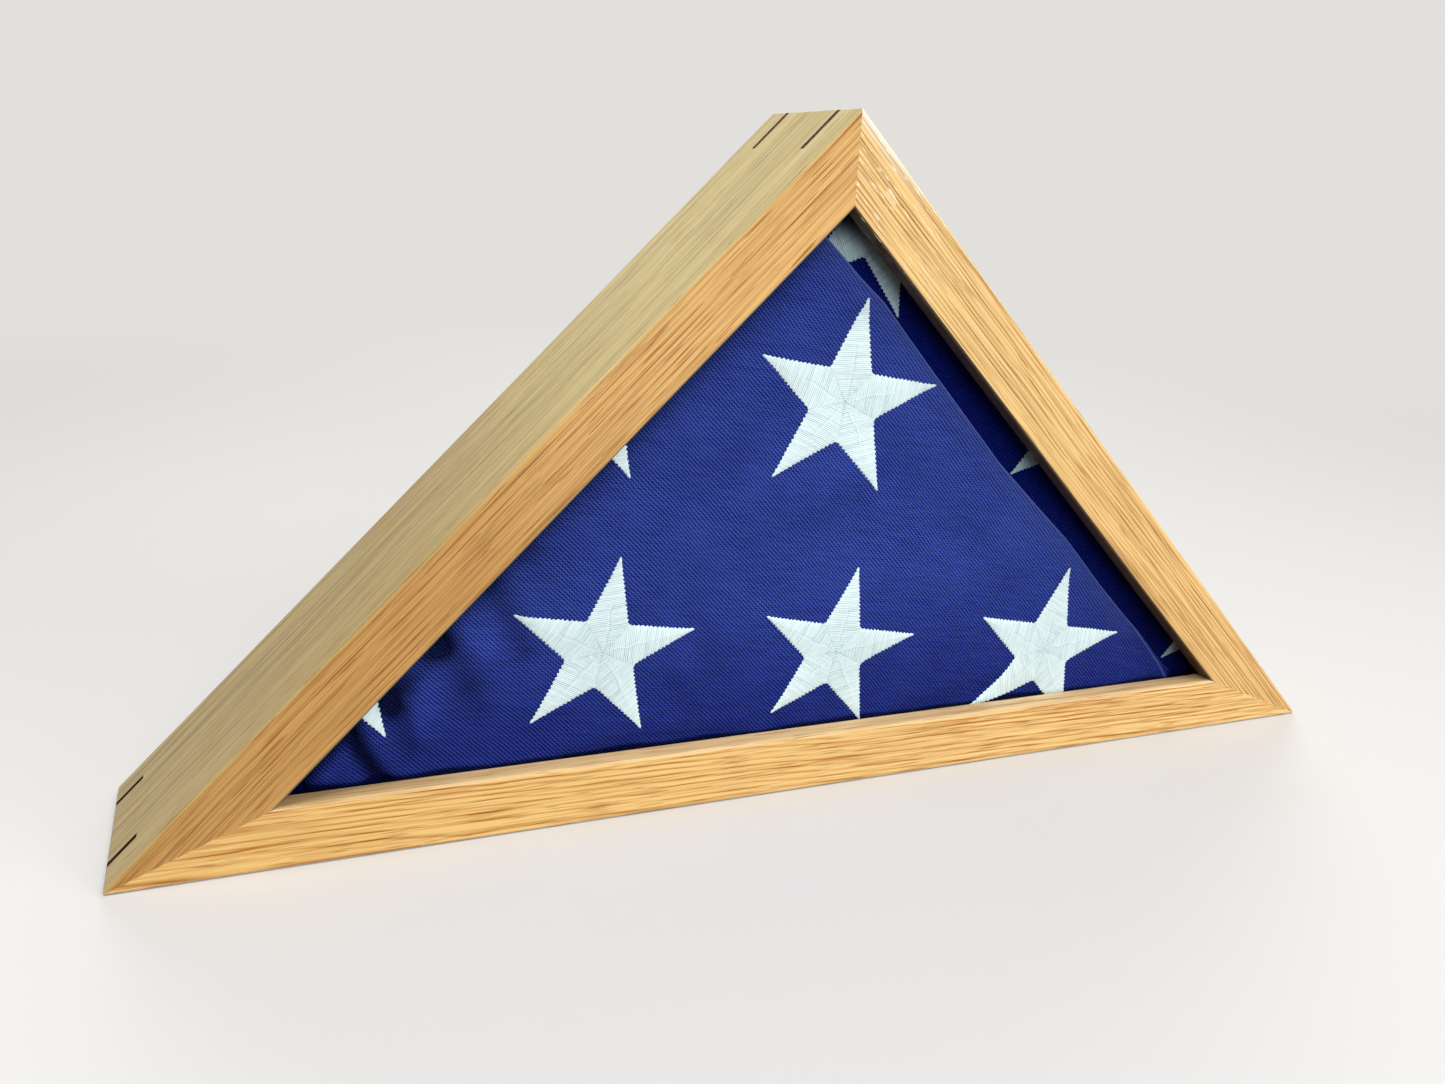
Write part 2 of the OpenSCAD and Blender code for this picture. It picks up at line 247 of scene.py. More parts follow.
def makeOak(name, look):
    material, tree, shader = newMaterial(name)

    # noise about 0, drawn out along the rail; the numbers are features per metre
    def grain(along, across, detail=2.0, roughness=0.55):
        place = railSpace(tree, look["turn"], (along, across, across), look["shift"])
        return calc(tree, "SUBTRACT", noise(tree, place, 1.0, detail, roughness), 0.5)

    point = railSpace(tree, look["turn"], (1000, 1000, 1000))
    along, depth, height = addNode(tree, "SeparateXYZ", {0: point}).outputs
    # growth rings: distance from the tree's middle, leaning and wandering along the rail
    ringDepth = calc(tree, "SUBTRACT", depth, look["ringAt"][0])
    ringHeight = calc(tree, "SUBTRACT", height, look["ringAt"][1])
    ringHeight = calc(tree, "MULTIPLY_ADD", along, look["lean"], ringHeight)
    squared = calc(tree, "MULTIPLY", ringHeight, ringHeight)
    far = calc(tree, "SQRT", calc(tree, "MULTIPLY_ADD", ringDepth, ringDepth, squared))
    far = calc(tree, "MULTIPLY_ADD", grain(6, 20), look["wander"] * look["ringPitch"], far)
    far = calc(tree, "MULTIPLY_ADD", grain(15, 60), look["waves"] * look["ringPitch"], far)
    ring = calc(tree, "FRACT", calc(tree, "DIVIDE", far, look["ringPitch"]))
    # a thin dark line where each ring ends, broken up along its way
    line = greyRamp(tree, ring, [(0.0, 0.5), (0.16, 0.0), (0.4, 0.0), (0.66, 0.05), (0.84, 1.0), (1.0, 0.5)])
    broken = smoothStep(tree, grain(18, 420, 1.0), -0.20, 0.02)
    line = calc(tree, "MULTIPLY", line, broken)
    veinFade = smoothStep(tree, grain(20, 120, 1.0), -0.28, -0.05)
    fine = grain(8, 1000, 3.0, 0.65)
    broad = grain(3, 24)

    def cutColour(cut):
        streak = smoothStep(tree, grain(*cut["perMetre"], 2.0, 0.6), 0.06, 0.15)
        # veins: thin lines where a drawn-out noise crosses its middle, long loops that fade in and out
        level = calc(tree, "ABSOLUTE", grain(*cut["veinsPerMetre"], 1.5, 0.5))
        vein = calc(tree, "MULTIPLY", smoothStep(tree, level, 0.055, 0.02), veinFade)
        tone = calc(tree, "MULTIPLY_ADD", line, cut["rings"], 0.06)
        tone = calc(tree, "MULTIPLY_ADD", vein, cut["veins"], tone)
        tone = calc(tree, "MULTIPLY_ADD", streak, cut["streaks"], tone)
        tone = calc(tree, "MULTIPLY_ADD", fine, 2.4 * cut["fine"], tone)
        tone = calc(tree, "MULTIPLY_ADD", broad, 2.4 * cut["broad"], tone)
        share = addNode(tree, "Clamp", {0: tone}).outputs[0]
        return blendColours(tree, share, cut["light"], cut["dark"])

    frontEdge = caseLow.y * 1000
    isFront = smoothStep(tree, depth, frontEdge + 0.10, frontEdge + 0.01)
    colour = blendColours(tree, isFront, cutColour(look["side"]), cutColour(look["front"]))
    # a paler zone behind the side's front edge
    pale = calc(tree, "MULTIPLY", smoothStep(tree, depth, frontEdge + 38, frontEdge + 14), look["paleZone"])
    pale = calc(tree, "MULTIPLY", pale, calc(tree, "SUBTRACT", 1.0, isFront))
    colour = blendColours(tree, pale, colour, look["side"]["light"])
    # a darker band along the side's front edge, which fades away from the apex
    band = calc(tree, "MULTIPLY", smoothStep(tree, depth, frontEdge + 8.5, frontEdge + 6.5),
                smoothStep(tree, along, look["ends"][0], look["ends"][1]))
    band = calc(tree, "MULTIPLY", calc(tree, "SUBTRACT", band, isFront), look["band"])
    colour = blendColours(tree, addNode(tree, "Clamp", {0: band}).outputs[0], colour, (0.1, 0.08, 0.04, 1))
    wash = blendColours(tree, smoothStep(tree, along, *look["wash"]), look["firstTint"], look["lastTint"])
    colour = blendColours(tree, 1.0, colour, wash, "MULTIPLY")
    # the window's inner side, darkened by innerShadeTint: painted shade, darkest on the right rail, whose
    # inner side lies in shadow
    into = calc(tree, "ABSOLUTE", calc(tree, "SUBTRACT", height, look["outer"]))
    inner = smoothStep(tree, into, oakLook["faceWidth"] - 1.2, oakLook["faceWidth"] - 0.7)
    colour = blendColours(tree, inner, colour, blendColours(tree, 1.0, colour, look["innerShadeTint"], "MULTIPLY"))
    # pores: thin dashes that gather on the ring lines
    dash = calc(tree, "MULTIPLY_ADD", line, 0.08, grain(42, 1200, 1.0, 0.4))
    pore = smoothStep(tree, dash, 0.14, 0.22)
    colour = blendColours(tree, calc(tree, "MULTIPLY", pore, look["pores"]), colour, oakLook["poreColour"])
    # ray flecks: short pale marks near the apex end
    nearApex = smoothStep(tree, along, look["ends"][0] + 110, look["ends"][0] + 20)
    fleck = smoothStep(tree, grain(110, 1250, 1.0, 0.5), 0.15, 0.21)
    fleck = calc(tree, "MULTIPLY", calc(tree, "MULTIPLY", fleck, nearApex), look["flecksAndSheen"])
    colour = blendColours(tree, fleck, colour, oakLook["fleckColour"])
    # painted highlight: a pale sheen painted along the outer edge by the apex, and over the outer face there
    # too
    byApex = smoothStep(tree, along, look["ends"][0] + 70, look["ends"][0] + 10)
    paintedSheen = calc(tree, "MULTIPLY", smoothStep(tree, into, 7.0, 0.5), byApex)
    paintedSheen = calc(tree, "MULTIPLY", paintedSheen, look["flecksAndSheen"] * 0.7)
    colour = blendColours(tree, paintedSheen, colour, oakLook["paintedSheenColour"])
    tree.links.new(colour, shader.inputs["Base Color"])
    rough = calc(tree, "MULTIPLY_ADD", pore, 0.25, oakLook["roughness"])
    tree.links.new(calc(tree, "MULTIPLY_ADD", fine, 0.3, rough), shader.inputs["Roughness"])
    shader.inputs["Specular IOR Level"].default_value = oakLook["specular"]
    shader.inputs["Coat Weight"].default_value = oakLook["coat"]
    shader.inputs["Coat Roughness"].default_value = 0.25
    relief = calc(tree, "MULTIPLY_ADD", pore, -1.0, calc(tree, "MULTIPLY", fine, 0.8))
    bump = addNode(tree, "Bump", {"Strength": 0.5, "Distance": oakLook["poreDepth"], "Height": relief})
    tree.links.new(bump.outputs[0], shader.inputs["Normal"])
    return material


def dress(name, material):
    nodes[name].data.materials.clear()
    nodes[name].data.materials.append(material)


for railName, railLook in railLooks.items():
    dress(railName, makeOak(railName.replace("_rail", "Oak"), railLook))
for stopName in ("bottom_glass_stop", "left_glass_stop", "right_glass_stop"):
    dress(stopName, nodes[stopName.replace("glass_stop", "rail")].data.materials[0])
print("oak rails and glass stops finished")

# Walnut splines
splineLook = {
    "left": {"turn": math.radians(-22.5), "light": paint(66, 46, 32), "dark": paint(30, 20, 15)},
    "right": {"turn": math.radians(22.5), "light": paint(66, 46, 32), "dark": paint(30, 20, 15)},
    "apex": {"turn": math.radians(90), "light": paint(104, 88, 74), "dark": paint(52, 42, 36)},
}


def makeWalnut(name, look):
    material, tree, shader = newMaterial(name)
    grain = noise(tree, railSpace(tree, look["turn"], (900, 900, 40)), 1.0, 3.0, 0.6)
    poreSpace = railSpace(tree, look["turn"], (2200, 2200, 160))
    pores = smoothStep(tree, noise(tree, poreSpace, 1.0, 1.0), 0.58, 0.7)
    colour = blendColours(tree, smoothStep(tree, grain, 0.3, 0.7), look["light"], look["dark"])
    colour = blendColours(tree, calc(tree, "MULTIPLY", pores, 0.6), colour, paint(14, 9, 7))
    tree.links.new(colour, shader.inputs["Base Color"])
    tree.links.new(calc(tree, "MULTIPLY_ADD", pores, 0.2, 0.4), shader.inputs["Roughness"])
    shader.inputs["Specular IOR Level"].default_value = 0.0
    bump = addNode(tree, "Bump", {"Strength": 0.4, "Distance": 0.00008, "Height": grain})
    tree.links.new(bump.outputs[0], shader.inputs["Normal"])
    return material


for corner, cornerLook in splineLook.items():
    walnut = makeWalnut(corner + "Walnut", cornerLook)
    for side in ("front", "back"):
        dress(f"{corner}_spline_{side}", walnut)
print("splines finished")


# Glass, metal and plywood
def makeGlass():
    material, tree, shader = newMaterial("clearGlass")
    shader.inputs["Base Color"].default_value = (0.985, 0.995, 0.99, 1)
    shader.inputs["Roughness"].default_value = 0.0
    shader.inputs["IOR"].default_value = 1.04  # far below real glass, so that it hardly reflects
    shader.inputs["Transmission Weight"].default_value = 1.0
    path = addNode(tree, "LightPath").outputs
    clear = calc(tree, "MAXIMUM", path["Is Shadow Ray"], path["Is Diffuse Ray"])
    through = addNode(tree, "BsdfTransparent")
    mixed = addNode(tree, "MixShader", {0: clear, 1: shader.outputs[0], 2: through.outputs[0]})
    tree.links.new(mixed.outputs[0], tree.nodes["Material Output"].inputs["Surface"])
    return material


metalLooks = {
    "glass_stop_pins": {"colour": paint(214, 178, 106), "roughness": 0.32, "grain": 1800},
    "case_magnets": {"colour": paint(196, 198, 202), "roughness": 0.18, "grain": 900},
    "panel_discs": {"colour": paint(172, 174, 178), "roughness": 0.38, "grain": 1400},
}


def makeMetal(name, look):
    material, tree, shader = newMaterial(name + "Metal")
    shader.inputs["Metallic"].default_value = 1.0
    worn = noise(tree, railSpace(tree, 0.0, (look["grain"],) * 3), 1.0, 3.0, 0.6)
    dull = tuple(c * 0.72 for c in look["colour"][:3]) + (1,)
    colour = blendColours(tree, smoothStep(tree, worn, 0.35, 0.75), look["colour"], dull)
    tree.links.new(colour, shader.inputs["Base Color"])
    rough = calc(tree, "MULTIPLY_ADD", worn, 0.22, look["roughness"] - 0.1)
    tree.links.new(rough, shader.inputs["Roughness"])
    return material


plyLook = {
    "light": paint(226, 196, 150),
    "dark": paint(186, 146, 98),
    "core": paint(160, 122, 80),
    "plies": 5,
}


def makePlywood():
    material, tree, shader = newMaterial("birchPlywood")
    coordinates = addNode(tree, "TexCoord").outputs
    depth = addNode(tree, "SeparateXYZ", {0: coordinates["Object"]}).outputs[1]
    facing = calc(tree, "ABSOLUTE", addNode(tree, "SeparateXYZ", {0: coordinates["Normal"]}).outputs[1])
    face = smoothStep(tree, facing, 0.6, 0.8)
    figure = noise(tree, railSpace(tree, 0.0, (7, 90, 60)), 1.0, 3.0, 0.55, 0.4)
    fine = noise(tree, railSpace(tree, 0.0, (25, 900, 900)), 1.0, 2.0, 0.6)
    tone = calc(tree, "MULTIPLY_ADD", fine, 0.4, calc(tree, "MULTIPLY", figure, 0.8))
    tone = smoothStep(tree, tone, 0.3, 0.85)
    faceColour = blendColours(tree, tone, plyLook["light"], plyLook["dark"])
    low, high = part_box("back_panel")
    pliesPerMetre = plyLook["plies"] / (high.y - low.y)
    layer = calc(tree, "MULTIPLY", calc(tree, "SUBTRACT", depth, low.y), pliesPerMetre)
    odd = calc(tree, "LESS_THAN", calc(tree, "FRACT", calc(tree, "MULTIPLY", layer, 0.5)), 0.5)
    edgeColour = blendColours(tree, odd, plyLook["core"], plyLook["light"])
    edgeColour = blendColours(tree, fine, edgeColour, plyLook["dark"])
    tree.links.new(blendColours(tree, face, edgeColour, faceColour), shader.inputs["Base Color"])
    tree.links.new(calc(tree, "MULTIPLY_ADD", fine, 0.15, 0.5), shader.inputs["Roughness"])
    bump = addNode(tree, "Bump", {"Strength": 0.3, "Distance": 0.0001, "Height": fine})
    tree.links.new(bump.outputs[0], shader.inputs["Normal"])
    return material


dress("glass_pane", makeGlass())
for metalName, metalLook in metalLooks.items():
    dress(metalName, makeMetal(metalName, metalLook))
dress("back_panel", makePlywood())
print("glass, metal and plywood finished")

# Cloth
clothLooks = {
    # worn is the pale blue of the painted highlight along the folded edge and the crease
    "blueBunting": {"light": paint(65, 86, 178), "dark": paint(6, 12, 74), "worn": paint(116, 134, 204)},
    # shadedBunting is a darker copy of blueBunting: painted shade for the bundle, which lies in shadow behind
    # the front layer
    "shadedBunting": {"light": paint(12, 28, 118), "dark": paint(2, 6, 52), "worn": paint(30, 36, 84)},
}
weaveLook = {
    "weftTurn": math.radians(-10),  # the yarns' turns in the flag's plane
    "warpTurn": math.radians(-90),
    "yarnPitch": 1.18,  # mm
    "slantTurn": math.radians(-47),
    "slantPitch": 1.5,  # mm between the slanting lines that the crossings make
    "relief": 0.0003,
    "roughness": 0.8,
}


# Plain weave in the X-Z plane: weft and warp ridges and the slanting lines that their crossings
# make. A slow noise shifts the pattern, so that it isn't ruled.
def makeCloth(name, look):
    material, tree, shader = newMaterial(name)
    waver = calc(tree, "SUBTRACT", noise(tree, railSpace(tree, 0.0, (30, 30, 30)), 1.0, 1.0), 0.5)
    shift = calc(tree, "MULTIPLY", waver, 2.6)

    def lines(turn, pitch):
        height = addNode(tree, "SeparateXYZ", {0: railSpace(tree, turn, (1000, 1000, 1000))}).outputs[2]
        turnsPerMm = 2 * math.pi / pitch
        return calc(tree, "SINE", calc(tree, "MULTIPLY", calc(tree, "ADD", height, shift), turnsPerMm))

    weft = lines(weaveLook["weftTurn"], weaveLook["yarnPitch"])
    warp = lines(weaveLook["warpTurn"], weaveLook["yarnPitch"])
    slant = lines(weaveLook["slantTurn"], weaveLook["slantPitch"])
    slub = noise(tree, railSpace(tree, weaveLook["weftTurn"], (80, 80, 850)), 1.0, 2.0)
    fuzz = noise(tree, railSpace(tree, 0.0, (1300, 1300, 1300)), 1.0, 1.0)
    patch = noise(tree, railSpace(tree, 0.0, (30, 30, 30)), 1.0, 2.0)
    ridge = calc(tree, "MULTIPLY_ADD", slant, 0.34, 0.48)
    ridge = calc(tree, "MULTIPLY_ADD", weft, 0.16, ridge)
    ridge = calc(tree, "MULTIPLY_ADD", warp, 0.12, ridge)
    tone = calc(tree, "MULTIPLY_ADD", calc(tree, "SUBTRACT", slub, 0.5), 0.4, ridge)
    tone = calc(tree, "MULTIPLY_ADD", calc(tree, "SUBTRACT", fuzz, 0.5), 0.2, tone)
    tone = calc(tree, "MULTIPLY_ADD", calc(tree, "SUBTRACT", patch, 0.5), 0.25, tone)
    colour = blendColours(tree, smoothStep(tree, tone, -0.15, 1.1), look["dark"], look["light"])
    # painted shade: darker in colour low down
    place = addNode(tree, "SeparateXYZ", {0: addNode(tree, "TexCoord").outputs["Object"]}).outputs
    high = smoothStep(tree, place[2], 0.024, 0.115)
    paintedLowShade = blendColours(tree, high, (0.50, 0.50, 0.66, 1), (1, 1, 1, 1))
    colour = blendColours(tree, 1.0, colour, paintedLowShade, "MULTIPLY")
    # painted shade and highlight: the wrinkles' valleys, the window's left side and the crack above the
    # bottom rail are darker, ridges paler
    paintedShading = addNode(tree, "Attribute", attribute_name="paintedShadeAndHighlight").outputs["Fac"]
    colour = blendColours(tree, 1.0, colour, calc(tree, "MULTIPLY_ADD", paintedShading, -0.85, 1.0), "MULTIPLY")
    # painted highlight along the folded edge, in a broad band beside it and along the crease
    worn = addNode(tree, "Attribute", attribute_name="paintedFoldHighlight").outputs["Fac"]
    colour = blendColours(tree, calc(tree, "MULTIPLY", worn, 0.45), colour, look["worn"])
    tree.links.new(colour, shader.inputs["Base Color"])
    shader.inputs["Roughness"].default_value = weaveLook["roughness"]
    shader.inputs["Specular IOR Level"].default_value = 0.04
    bump = addNode(tree, "Bump", {"Strength": 0.8, "Distance": weaveLook["relief"], "Height": ridge})
    tree.links.new(bump.outputs[0], shader.inputs["Normal"])
    return material


blueCloth, shadedCloth = (makeCloth(name, look) for name, look in clothLooks.items())

layerLow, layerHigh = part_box("flag_front_layer")
foldSum = layerHigh.x + layerLow.z  # x + z along the folded edge
leftLine = 2 * layerHigh.z - foldSum  # z - x along the left rail's side
windowSum = foldSum + 11.5 * mm / diagonal  # x + z along the window's right edge
layerLook = {
    "rows": 230,
    "frontColumns": 372,
    "backColumns": 44,
    "rim": 4.0 * mm,
    "foldRim": 1.6 * mm,
    # the round that cuts off the lower left corner
    "cutSetback": 5 * mm,
    "cutDepth": 10 * mm,
    "cutMiddle": 12 * mm,
    "cutReach": 45 * mm,
    # the worn line here is the painted highlight along the folded edge
    "edgeHighlightUpTo": 112,  # mm along the folded edge, where its worn line gives way to the crease
    "deepest": 0.68,  # share of the thickness that a wrinkle may reach
    "topGap": 4 * mm,
    # palest is the painted highlight on the ridges and deepestValley the valley depth where the painted shade
    # is full
    "palest": -0.34,
    "deepestValley": 4.6,  # mm, where the shade is full
    "windowLeft": 141.15 * mm,  # half of z - x along the window's left edge
    "windowBottom": 28.6 * mm,
    # from the window's right edge to the folded edge, by (x - z) / sqrt(2), in mm
    "foldPlaces": (-200, -178, -168, -150, -128, -101, -42, -10, 25, 61, 96, 113, 131, 152, 170),
    "foldSetbacks": (12.4, 11.5, 11.3, 9.6, 10.7, 11.8, 13.4, 12.3, 10.4, 11.2, 11.0, 9.9, 9.7, 9.1, 8.8),
    # the crease that leaves the folded edge near its lower end
    "creasePlaces": (97, 110, 122, 136, 148, 160),
    "creaseSetbacks": (11.4, 12.0, 12.4, 13.1, 14.8, 16.8),
}
# Wrinkles of the front layer in mm: the path's (x, z) points, the width and the depth, which is
# negative on a ridge
wrinkles = (
    {"path": ((-240, 36), (-226, 49)), "width": 4.5, "depth": 2.2},
    {"path": ((-209, 71), (-204, 66), (-201, 61)), "width": 4.4, "depth": 4.2},
    {"path": ((-185, 96), (-181, 91), (-179, 87)), "width": 4.4, "depth": 4.4},
    {"path": ((-203, 64), (-190, 77), (-180, 88)), "width": 4.0, "depth": 2.2},
    {"path": ((-224, 58), (-220, 51), (-217, 43), (-208, 26)), "width": 4.0, "depth": 4.8},
    {"path": ((-202, 60), (-197, 50), (-195, 40)), "width": 5.5, "depth": 1.8},
    {"path": ((-178, 90), (-173, 80), (-168, 68)), "width": 6.5, "depth": 1.7},
    {"path": ((-168, 66), (-163, 54)), "width": 7.5, "depth": 1.0},
    {"path": ((-158, 116), (-153, 106), (-147, 92), (-143, 82)), "width": 6.0, "depth": 1.8},
    {"path": ((-140, 130), (-134, 118)), "width": 6.0, "depth": 0.9},
    {"path": ((-231, 35), (-226, 40), (-223, 47)), "width": 5.0, "depth": -1.6},
    {"path": ((-213, 55), (-208, 47)), "width": 4.4, "depth": -1.2},
    {"path": ((-190, 78), (-187, 70), (-188, 58), (-190, 50)), "width": 6.0, "depth": -2.0},
    {"path": ((-168, 96), (-161, 86)), "width": 7.0, "depth": -1.5},
    {"path": ((-120, 26), (-80, 31), (-30, 28)), "width": 5.0, "depth": 0.9},
    {"path": ((60, 27), (100, 33), (150, 30)), "width": 6.0, "depth": 0.8},
    {"path": ((-62, 92), (-52, 78), (-48, 62)), "width": 9.0, "depth": 0.9},
    {"path": ((-72, 60), (-60, 42)), "width": 8.0, "depth": 0.8},
    {"path": ((20, 190), (70, 140), (120, 95)), "width": 12.0, "depth": 0.7},
    {"path": ((-60, 160), (-20, 190), (10, 230)), "width": 12.0, "depth": 0.7},
    {"path": ((-90, 100), (-40, 125), (20, 140)), "width": 14.0, "depth": 0.6},
)


# The shortest distance, in metres, from points (x, z) to a path given in mm
def pathDistance(x, z, path):
    nearest = np.full(np.broadcast(x, z).shape, np.inf)
    for (x0, z0), (x1, z1) in zip(path, path[1:]):
        stepX, stepZ = (x1 - x0) * mm, (z1 - z0) * mm
        share = ((x - x0 * mm) * stepX + (z - z0 * mm) * stepZ) / (stepX**2 + stepZ**2)
        share = np.clip(share, 0, 1)
        nearest = np.minimum(nearest, np.hypot(x - x0 * mm - share * stepX, z - z0 * mm - share * stepZ))
    return nearest


# The distance of points (x, z) inside a line that runs down beside the window's right edge; the
# line's setbacks from that edge are given in mm at places along it
def insideLine(x, z, places, setbacks):
    along = (x - z) * diagonal / mm
    return (windowSum - x - z) * diagonal - np.interp(along, places, setbacks) * mm


# How far a rounded edge falls away at a distance inside it
def rounding(distance, radius):
    inside = np.clip(distance / radius, 0, 1)
    return radius * (1 - np.sqrt(1 - (1 - inside) ** 2))


# How deep (x, z) lies in a wrinkle, in mm, negative on a ridge
def wrinkleDepth(x, z):
    total = x * 0 + z * 0
    for wrinkle in wrinkles:
        distance = pathDistance(x, z, wrinkle["path"]) / (wrinkle["width"] * mm)
        total = total + wrinkle["depth"] * np.exp(-(distance**2))
    return total


# How far the front layer's face lies behind the front of its box: slow swells and the wrinkles,
# less of both near the folded edge, and the edge's roll past the crease
def layerDepth(x, z):
    look = layerLook
    swell = 0.35 * np.sin(41 * x + 23 * z + 0.6) + 0.3 * np.sin(-29 * x + 52 * z + 2.1)
    swell = swell + 0.20 * np.sin(97 * x - 61 * z + 1.0)
    swell = swell + 0.14 * np.sin(150 * x + 84 * z + 2.0 * np.sin(40 * z))
    swell = swell + 0.12 * np.sin(-92 * x + 190 * z + 1.7 * np.sin(55 * x + 1.0))
    depth = np.clip(1.4 + swell + wrinkleDepth(x, z), 0.1, 6) * mm
    depth = depth + 1.6 * mm * np.clip(1 - (z - layerLow.z) / 0.075, 0, 1) ** 2
    toFold = insideLine(x, z, look["foldPlaces"], look["foldSetbacks"])
    toCrease = insideLine(x, z, look["creasePlaces"], look["creaseSetbacks"])
    creased = np.clip(((x - z) * diagonal / mm - look["creasePlaces"][0]) / 12, 0, 1)
    rolled = np.clip(-toCrease / mm, 0, 8)
    depth = depth * np.clip(toFold / 0.012, 0.6, 1) + creased * (0.25 * rolled + 0.16 * rolled**2) * mm
    return depth + rounding(toFold, look["foldRim"])


# The front layer's outline at height z: from the left rail's side, cut off near the lower left
# corner by a round, to the folded edge, which strays from its straight line
def layerEnds(z):
    fromRound = (z - layerLow.z - layerLook["cutMiddle"]) / layerLook["cutReach"]
    bulge = 1 - np.sqrt(np.clip(1 - fromRound**2, 0, 1))
    cut = layerLow.x - layerLook["cutSetback"] + layerLook["cutDepth"] * bulge
    left = np.maximum(z - leftLine, cut)
    right = foldSum - z
    for step in range(4):
        right = right + insideLine(right, z, layerLook["foldPlaces"], layerLook["foldSetbacks"]) / diagonal
    return left, right


def makeFrontLayer():
    look = layerLook
    rise = np.linspace(0, 1, look["rows"])[:, None] ** 1.25
    z = layerLow.z + (layerHigh.z - look["topGap"] - layerLow.z) * rise
    left, right = layerEnds(z)
    width = right - left
    u = np.linspace(0, 1, look["frontColumns"])[None]
    u = 0.65 * u + 0.175 * (1 - np.cos(np.pi * u))  # crowds towards both ends
    x = left + width * u
    toFold = insideLine(x, z, look["foldPlaces"], look["foldSetbacks"])
    toLeft = (x - left) * diagonal
    toBottom = z - layerLow.z + x * 0
    thick = layerHigh.y - layerLow.y
    rim = look["rim"]

    depth = layerDepth(x, z) + rounding(toLeft, rim) + rounding(toBottom, rim)
    depth = np.minimum(depth, thick * look["deepest"])
    front = np.stack([x, layerLow.y + depth, z + x * 0], -1)
    w = np.linspace(1, 0, look["backColumns"])[None]
    xb = left + width * w
    edge = np.minimum((right - xb) * diagonal, (xb - left) * diagonal)
    back = rounding(np.minimum(edge, z - layerLow.z + xb * 0), rim)
    back = np.minimum(back, thick * 0.3)
    rear = np.stack([xb, layerHigh.y - back, z + xb * 0], -1)
    grid = np.concatenate([front, rear], 1)
    along = (x - z) * diagonal / mm
    toCrease = insideLine(x, z, look["creasePlaces"], look["creaseSetbacks"])
    aboveCrease = np.clip((look["edgeHighlightUpTo"] - along) / 15, 0, 1)
    onCrease = np.clip((along - look["creasePlaces"][0]) / 10, 0, 1)
    # painted highlight: a thin pale line on the folded edge's rim, a broad faint band beside it and a pale
    # line along the crease
    worn = np.exp(-(((toFold - 0.5 * mm) / (0.6 * mm)) ** 2)) * aboveCrease
    worn = worn + 0.8 * np.exp(-((toCrease / (0.5 * mm)) ** 2)) * onCrease
    worn = worn + 0.16 * np.exp(-((toFold / (10 * mm)) ** 2)) * aboveCrease
    worn = np.concatenate([np.clip(worn, 0, 1), xb * 0], 1)
    # painted shade: dark in the valleys, along the window's left side, where the rail's shadow falls, and in
    # the crack above the bottom rail; a painted highlight makes the ridges paler
    shade = np.clip(wrinkleDepth(x, z) / look["deepestValley"], look["palest"], 1)
    insideWindow = (2 * look["windowLeft"] - (z - x)) * diagonal
    shade = shade + 1.15 * np.exp(-np.clip(insideWindow / mm - 2.0, 0, 50) / 7.0)
    crack = look["windowBottom"] + (0.5 * np.sin(60 * x) + 0.4 * np.sin(143 * x + 2)) * mm
    crack = crack + 1.6 * mm * np.exp(-(((x + 0.204) / 0.006) ** 2))
    crack = crack + 3 * mm * np.clip((-0.222 - x) / 0.02, 0, 1)
    shade = shade + 0.9 * np.clip((crack - z) / (1.4 * mm), 0, 1)
    shade = np.concatenate([np.clip(shade, look["palest"], 1.0), xb * 0], 1)
    piece = loftMesh("flag_front_cloth", grid, blueCloth, values={"paintedFoldHighlight": worn, "paintedShadeAndHighlight": shade})
    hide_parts("flag_front_layer")
    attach(piece, "flag")


makeFrontLayer()
print("front layer laid")

bundleLow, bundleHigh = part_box("flag_bundle")
bundleLook = {
    "around": 360,
    "capRings": 60,
    "sideRings": 96,
    "folds": 11,
    "foldDepth": 1.3 * mm,
    "rim": 5.0 * mm,
}


# The bundle's outline, a triangle with its base corners cut off, as points at even angles about
# its middle: the nearest of the five lines in each direction, rounded by a power mean
def bundleOutline(angle, middle):
    topSum = bundleHigh.z
    lines = [
        (0.0, -1.0, -bundleLow.z),
        (diagonal, diagonal, topSum * diagonal),
        (-diagonal, diagonal, topSum * diagonal),
        (1.0, 0.0, bundleHigh.x),
        (-1.0, 0.0, -bundleLow.x),
    ]
    total = angle * 0
    for nx, nz, offset in lines:
        far = offset - nx * middle[0] - nz * middle[1]
        lean = np.clip(nx * np.cos(angle) + nz * np.sin(angle), 1e-6, None)
        total = total + (lean / far) ** 26
    return total ** (-1 / 26)


